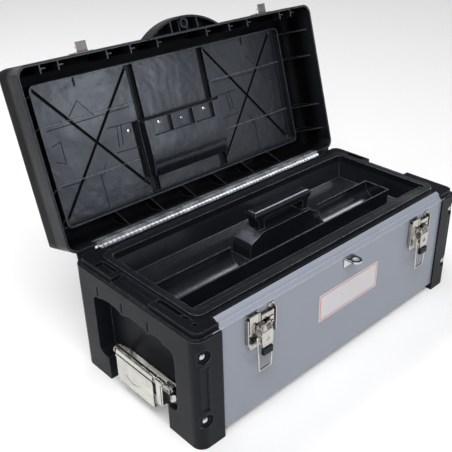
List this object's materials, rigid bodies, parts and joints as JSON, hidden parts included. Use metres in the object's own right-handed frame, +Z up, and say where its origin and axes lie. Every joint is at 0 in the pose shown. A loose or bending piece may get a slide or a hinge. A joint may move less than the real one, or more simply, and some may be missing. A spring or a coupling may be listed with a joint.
{
  "type": "hard tool case",
  "caption": "Hard tool case: painted steel body between moulded end caps, ribbed lid on a piano hinge, lift-out tote tray, front draw latches and an end latch in each hand recess.",
  "frame": {"origin": "bottom centre of the case body, on the plane that its end caps stand on", "axes": "+X along the length to the right seen from the front, +Y to the hinge side, +Z up"},
  "size_m": [0.588, 0.4398, 0.4611],
  "materials": {
    "painted_steel": "semi-gloss blue-grey powder coat",
    "black_moulding": "finely textured black polypropylene",
    "black_tray": "satin black polypropylene",
    "black_plastic": "satin black",
    "nickel_plate": "nickel plated",
    "satin_nickel": "satin nickel",
    "zinc_plate": "bright zinc",
    "bright_steel": "bright steel"
  },
  "bodies": {
    "case": {"steel_wrap": "painted_steel", "end_cap_left": "black_moulding", "end_cap_right": "black_moulding", "rim_frame": "black_moulding", "cap_rivets": "bright_steel", "hinge_case_leaf": "zinc_plate", "hinge_pin": "bright_steel", "padlock_eye": "bright_steel", "latch_base_left": "nickel_plate", "latch_base_right": "nickel_plate", "latch_pin_left": "bright_steel", "latch_pin_right": "bright_steel", "latch_rivets": "bright_steel", "side_bracket_left": "nickel_plate", "side_bracket_right": "nickel_plate", "side_rod_left": "bright_steel", "side_rod_right": "bright_steel"},
    "lid": {"lid_shell": "black_moulding", "hinge_lid_leaf": "zinc_plate", "lid_keepers": "nickel_plate", "keeper_rivets": "bright_steel", "lid_rivets": "bright_steel", "handle_clips": "nickel_plate"},
    "carry_handle": {"carry_handle": "black_plastic"},
    "tote_tray": {"tote_tray": "black_tray"},
    "front_lever_left": {"lever_left": "nickel_plate", "lever_tip_left": "black_plastic"},
    "front_lever_right": {"lever_right": "nickel_plate", "lever_tip_right": "black_plastic"},
    "front_bail_left": {"bail_left": "nickel_plate"},
    "front_bail_right": {"bail_right": "nickel_plate"},
    "side_latch_left": {"side_cover_left": "satin_nickel", "side_hook_left": "satin_nickel"},
    "side_latch_right": {"side_cover_right": "satin_nickel", "side_hook_right": "satin_nickel"}
  },
  "joints": [
    {"name": "lid_hinge", "type": "hinge", "parent": "case", "child": "lid", "pos_m": [0, 0.138, 0.1777], "axis": [-1, 0, 0], "range_deg": [-105.8, 0]},
    {"name": "carry_handle_pivot", "type": "hinge", "parent": "lid", "child": "carry_handle", "pos_m": [0, 0.23763, 0.2815], "axis": [1, 0, 0], "range_deg": [-15.8, 74.2]},
    {"name": "tray_lift", "type": "slide", "parent": "case", "child": "tote_tray", "axis": [0, 0, 1], "range_m": [0, 0.2]},
    {"name": "front_lever_left_pivot", "type": "hinge", "parent": "case", "child": "front_lever_left", "pos_m": [-0.18, -0.1385, 0.152], "axis": [-1, 0, 0], "range_deg": [0, 110]},
    {"name": "front_bail_left_pivot", "type": "hinge", "parent": "front_lever_left", "child": "front_bail_left", "pos_m": [-0.18, -0.1415, 0.138], "axis": [1, 0, 0], "range_deg": [-182.12, 0]},
    {"name": "side_latch_left_pivot", "type": "hinge", "parent": "case", "child": "side_latch_left", "pos_m": [-0.288, 0, 0.07], "axis": [0, 1, 0], "range_deg": [0, 95]},
    {"name": "front_lever_right_pivot", "type": "hinge", "parent": "case", "child": "front_lever_right", "pos_m": [0.18, -0.1385, 0.152], "axis": [-1, 0, 0], "range_deg": [0, 110]},
    {"name": "front_bail_right_pivot", "type": "hinge", "parent": "front_lever_right", "child": "front_bail_right", "pos_m": [0.18, -0.1415, 0.138], "axis": [1, 0, 0], "range_deg": [-182.12, 0]},
    {"name": "side_latch_right_pivot", "type": "hinge", "parent": "case", "child": "side_latch_right", "pos_m": [0.288, 0, 0.07], "axis": [0, -1, 0], "range_deg": [0, 95]}
  ]
}
